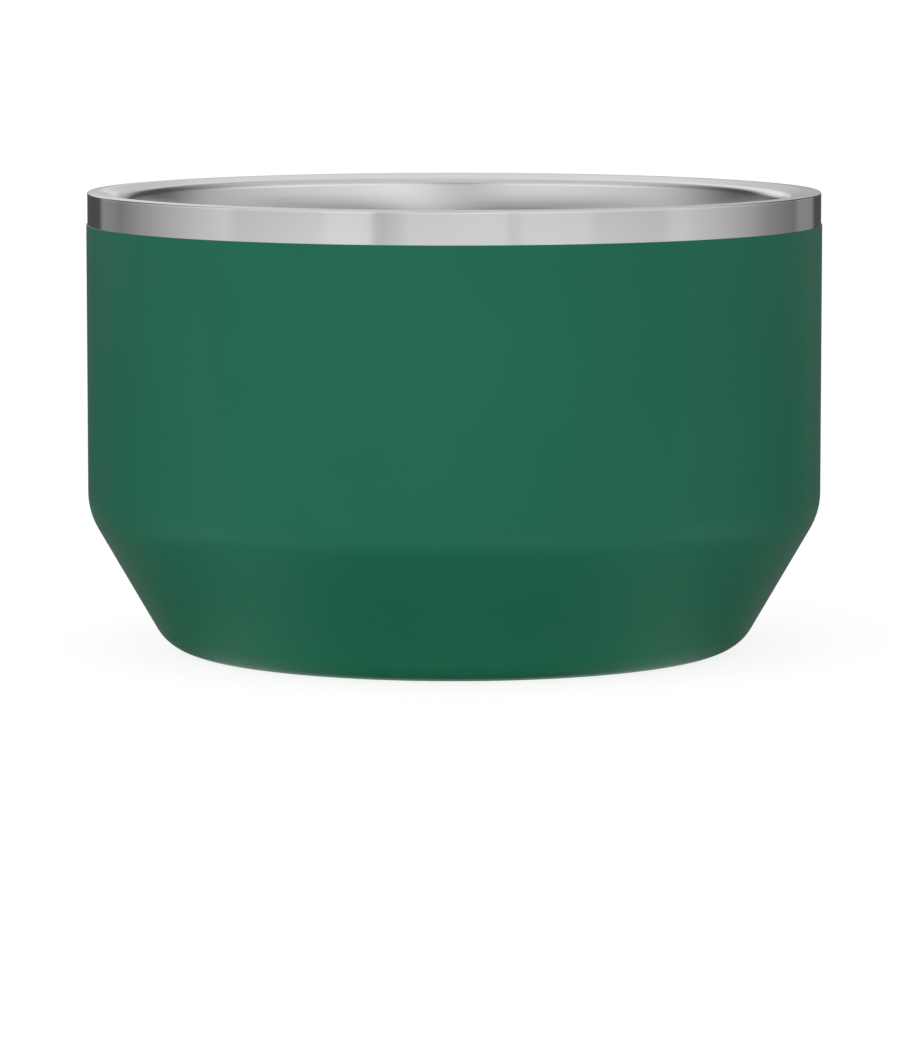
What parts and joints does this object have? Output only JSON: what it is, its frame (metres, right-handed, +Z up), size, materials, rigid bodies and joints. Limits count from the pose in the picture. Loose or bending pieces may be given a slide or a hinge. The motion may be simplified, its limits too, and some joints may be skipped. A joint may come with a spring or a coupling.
{
  "type": "insulated bowl",
  "caption": "Double-wall vacuum-insulated stainless steel bowl with a straight side, tapered lower body, flat foot, rolled steel lip and green powder-coated outside.",
  "frame": {"origin": "centre of the foot's standing plane, on the bowl's axis", "axes": "+Z up the bowl's axis, towards the mouth; +X to the right and -Y towards the camera in the picture"},
  "size_m": [0.1504, 0.1504, 0.0938],
  "materials": {
    "liner_steel": "satin, spun",
    "shell_steel": "satin, brushed round",
    "coat": "satin powder coat, fine orange peel",
    "seal_glass": "melted solder glass",
    "foil": "bright foil",
    "getter": "pressed powder, dull"
  },
  "bodies": {
    "root": {"inner_bowl": "liner_steel", "outer_shell": "shell_steel", "powder_coat": "coat", "base_plate": "shell_steel", "base_cover": "shell_steel", "seal_bead": "seal_glass", "foil_wrap": "foil", "getter_pellet": "getter", "getter_clip": "shell_steel"}
  },
  "joints": []
}
